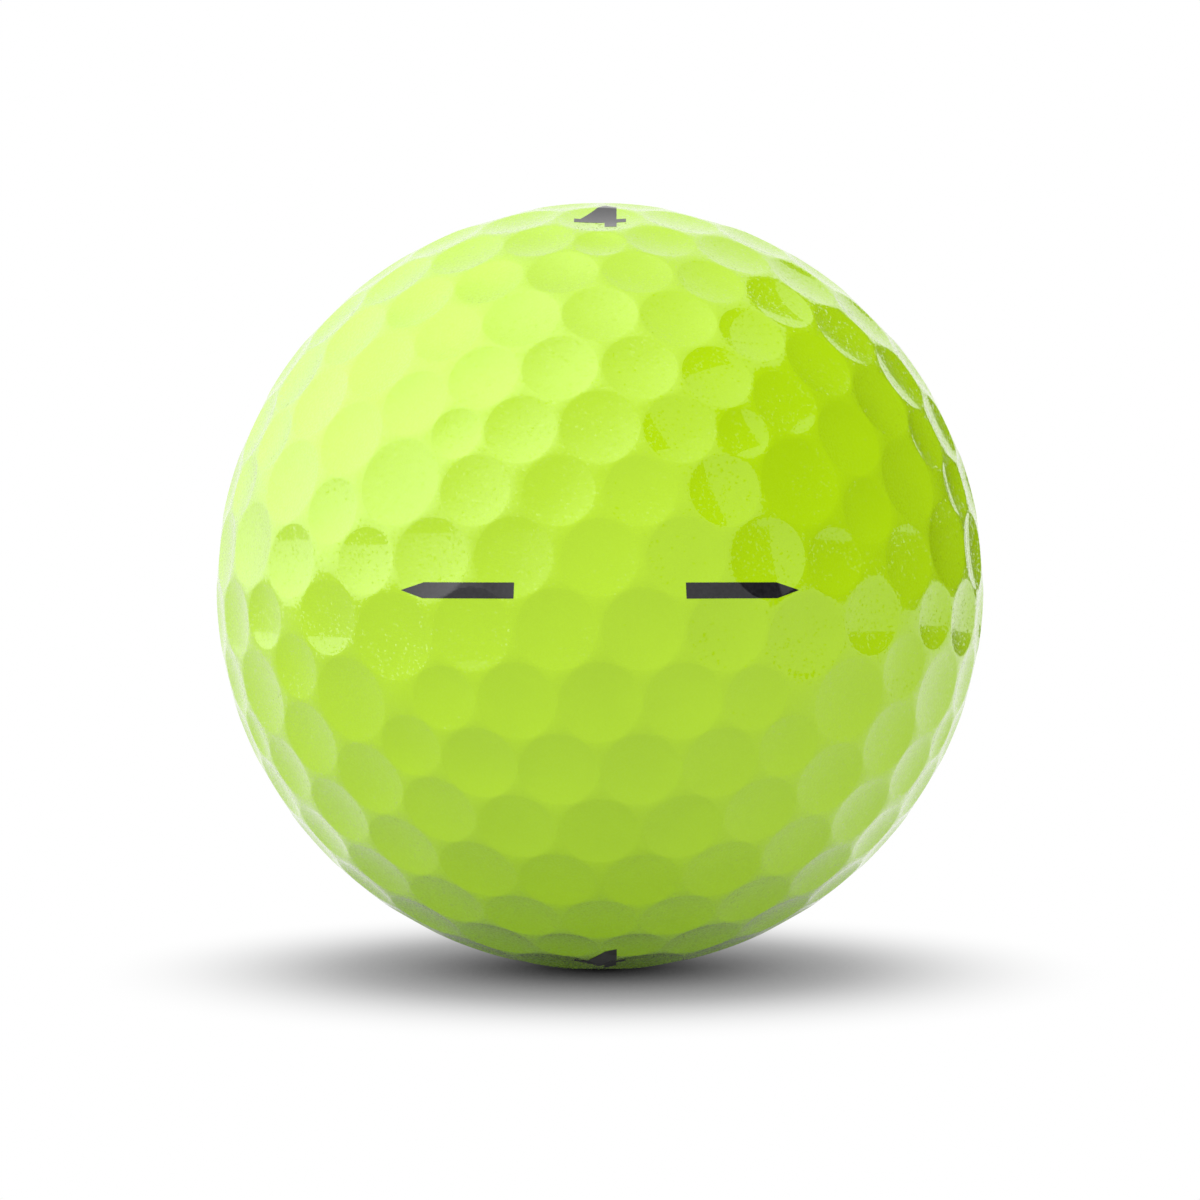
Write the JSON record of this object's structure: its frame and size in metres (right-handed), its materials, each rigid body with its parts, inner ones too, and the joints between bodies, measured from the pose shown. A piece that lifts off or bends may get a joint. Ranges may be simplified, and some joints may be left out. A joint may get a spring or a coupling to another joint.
{
  "type": "golf ball",
  "caption": "Golf ball with a rubber core, a firm casing and a thin dimpled cover, printed with pointed alignment bars and plain play numbers.",
  "frame": {"origin": "centre of the ball", "axes": "+Z through the upper pole of the dimple pattern; -Y through the middle of the side between the two alignment bars"},
  "size_m": [0.0426, 0.0426, 0.0426],
  "materials": {
    "core_rubber": "moulded, matt",
    "casing_ionomer": "moulded, satin",
    "cover_urethane": "high-visibility yellow-green under a gloss clear coat",
    "ink": "charcoal print under the same clear coat"
  },
  "bodies": {
    "root": {"core": "core_rubber", "casing": "casing_ionomer", "cover": "cover_urethane", "left_bar": "ink", "right_bar": "ink", "play_numbers": "ink"}
  },
  "joints": []
}
